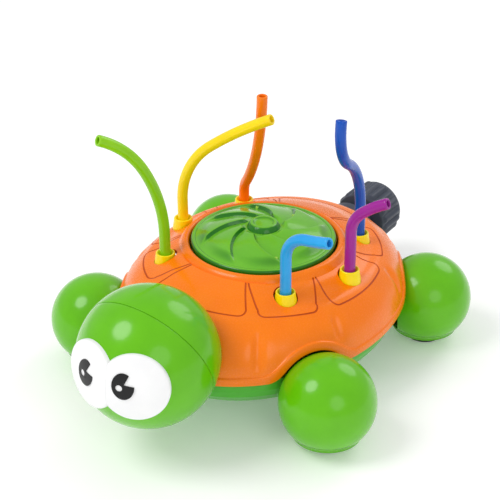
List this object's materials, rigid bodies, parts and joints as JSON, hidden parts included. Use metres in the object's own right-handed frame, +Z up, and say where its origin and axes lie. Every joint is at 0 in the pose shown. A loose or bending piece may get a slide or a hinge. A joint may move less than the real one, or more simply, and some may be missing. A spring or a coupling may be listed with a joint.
{
  "type": "lawn sprinkler",
  "caption": "Turtle-shaped garden sprinkler with a spinning water disc, bending spray tubes on the shell and a swivel hose connector.",
  "frame": {"origin": "middle of the toy's bounding box, on the ground under the foot pads", "axes": "+Z up, head toward -Y, hose connector toward +Y, the toy's left side toward +X"},
  "size_m": [0.222, 0.3042, 0.1679],
  "materials": {
    "shell_orange": "glossy injection-moulded plastic",
    "base_green": "glossy injection-moulded plastic",
    "lime_green": "glossy injection-moulded plastic",
    "spinner_green": "glossy, slightly see-through plastic",
    "socket_yellow": "glossy plastic",
    "eye_white": "glossy white plastic",
    "pupil_black": "gloss black",
    "slate": "fine satin moulded plastic",
    "inner_plastic": "plain moulded plastic",
    "bush_white": "smooth acetal",
    "rubber_black": "soft black rubber",
    "steel": "stainless steel",
    "tube_light_green": "soft glossy vinyl",
    "tube_yellow": "soft glossy vinyl",
    "tube_orange": "soft glossy vinyl",
    "tube_light_blue": "soft glossy vinyl",
    "tube_purple": "soft glossy vinyl",
    "tube_dark_blue": "soft glossy vinyl"
  },
  "bodies": {
    "body": {"top_shell": "shell_orange", "base_tray": "base_green", "shell_screws": "steel", "manifold_body": "inner_plastic", "manifold_seal": "rubber_black", "manifold_lid": "inner_plastic", "lid_screws": "steel", "spinner_bush": "bush_white", "inlet_flange": "slate", "inlet_seal": "rubber_black", "inlet_pipe": "slate", "socket_light_green": "socket_yellow", "socket_yellow": "socket_yellow", "socket_orange": "socket_yellow", "socket_light_blue": "socket_yellow", "socket_purple": "socket_yellow", "socket_dark_blue": "socket_yellow", "head_front": "lime_green", "head_back": "lime_green", "neck_bracket": "base_green", "head_screws": "steel", "eye_left": "eye_white", "eye_right": "eye_white", "pupil_left": "pupil_black", "pupil_right": "pupil_black", "foot_front_left": "lime_green", "foot_front_right": "lime_green", "foot_rear_left": "lime_green", "foot_rear_right": "lime_green", "foot_cap_front_left": "lime_green", "foot_cap_front_right": "lime_green", "foot_cap_rear_left": "lime_green", "foot_cap_rear_right": "lime_green", "foot_pads": "rubber_black", "foot_screws": "steel"},
    "spinner": {"spindle": "steel", "spindle_clip": "steel", "spinner_plate": "spinner_green", "spinner_cover": "spinner_green", "spinner_cap": "spinner_green"},
    "hose_nut": {"hose_nut": "slate", "hose_washer": "rubber_black", "inlet_filter": "bush_white"},
    "tube_base_light_green": {"tube_root_light_green": "tube_light_green"},
    "tube_end_light_green": {"tube_tip_light_green": "tube_light_green"},
    "tube_base_yellow": {"tube_root_yellow": "tube_yellow"},
    "tube_end_yellow": {"tube_tip_yellow": "tube_yellow"},
    "tube_base_orange": {"tube_root_orange": "tube_orange"},
    "tube_end_orange": {"tube_tip_orange": "tube_orange"},
    "tube_base_light_blue": {"tube_root_light_blue": "tube_light_blue"},
    "tube_end_light_blue": {"tube_tip_light_blue": "tube_light_blue"},
    "tube_base_purple": {"tube_root_purple": "tube_purple"},
    "tube_end_purple": {"tube_tip_purple": "tube_purple"},
    "tube_base_dark_blue": {"tube_root_dark_blue": "tube_dark_blue"},
    "tube_end_dark_blue": {"tube_tip_dark_blue": "tube_dark_blue"}
  },
  "joints": [
    {"name": "spinner_spin", "type": "hinge", "parent": "body", "child": "spinner", "pos_m": [0, 0.00613, 0.077], "axis": [0, 0, 1], "continuous": true},
    {"name": "hose_nut_turn", "type": "hinge", "parent": "body", "child": "hose_nut", "pos_m": [0, 0.12613, 0.04], "axis": [0, 1, 0], "continuous": true},
    {"name": "whirl_light_green", "type": "hinge", "parent": "body", "child": "tube_base_light_green", "pos_m": [-0.04243, -0.03629, 0.076], "axis": [0, 0, 1], "range_deg": [-30, 30]},
    {"name": "bend_light_green", "type": "hinge", "parent": "tube_base_light_green", "child": "tube_end_light_green", "pos_m": [-0.04243, -0.03629, 0.082], "axis": [0.866, -0.5, 0], "range_deg": [-20, 20], "stiffness_Nm_per_rad": 0.1},
    {"name": "whirl_yellow", "type": "hinge", "parent": "body", "child": "tube_base_yellow", "pos_m": [-0.06, 0.00613, 0.076], "axis": [0, 0, 1], "range_deg": [-30, 5]},
    {"name": "bend_yellow", "type": "hinge", "parent": "tube_base_yellow", "child": "tube_end_yellow", "pos_m": [-0.06, 0.00613, 0.082], "axis": [-0.1908, 0.9816, 0], "range_deg": [-20, 20], "stiffness_Nm_per_rad": 0.1},
    {"name": "whirl_orange", "type": "hinge", "parent": "body", "child": "tube_base_orange", "pos_m": [-0.04243, 0.04856, 0.076], "axis": [0, 0, 1], "range_deg": [-30, 30]},
    {"name": "bend_orange", "type": "hinge", "parent": "tube_base_orange", "child": "tube_end_orange", "pos_m": [-0.04243, 0.04856, 0.082], "axis": [0.6018, 0.7986, 0], "range_deg": [-20, 5], "stiffness_Nm_per_rad": 0.1},
    {"name": "whirl_light_blue", "type": "hinge", "parent": "body", "child": "tube_base_light_blue", "pos_m": [0.04243, -0.03629, 0.076], "axis": [0, 0, 1], "range_deg": [-30, 30]},
    {"name": "bend_light_blue", "type": "hinge", "parent": "tube_base_light_blue", "child": "tube_end_light_blue", "pos_m": [0.04243, -0.03629, 0.082], "axis": [0.1219, 0.9925, 0], "range_deg": [-20, 20], "stiffness_Nm_per_rad": 0.1},
    {"name": "whirl_purple", "type": "hinge", "parent": "body", "child": "tube_base_purple", "pos_m": [0.06, 0.00613, 0.076], "axis": [0, 0, 1], "range_deg": [-30, 30]},
    {"name": "bend_purple", "type": "hinge", "parent": "tube_base_purple", "child": "tube_end_purple", "pos_m": [0.06, 0.00613, 0.082], "axis": [-0.1564, 0.9877, 0], "range_deg": [-20, 20], "stiffness_Nm_per_rad": 0.1},
    {"name": "whirl_dark_blue", "type": "hinge", "parent": "body", "child": "tube_base_dark_blue", "pos_m": [0.04243, 0.04856, 0.076], "axis": [0, 0, 1], "range_deg": [-30, 30]},
    {"name": "bend_dark_blue", "type": "hinge", "parent": "tube_base_dark_blue", "child": "tube_end_dark_blue", "pos_m": [0.04243, 0.04856, 0.082], "axis": [0.9848, 0.1736, 0], "range_deg": [-20, 20], "stiffness_Nm_per_rad": 0.1}
  ]
}
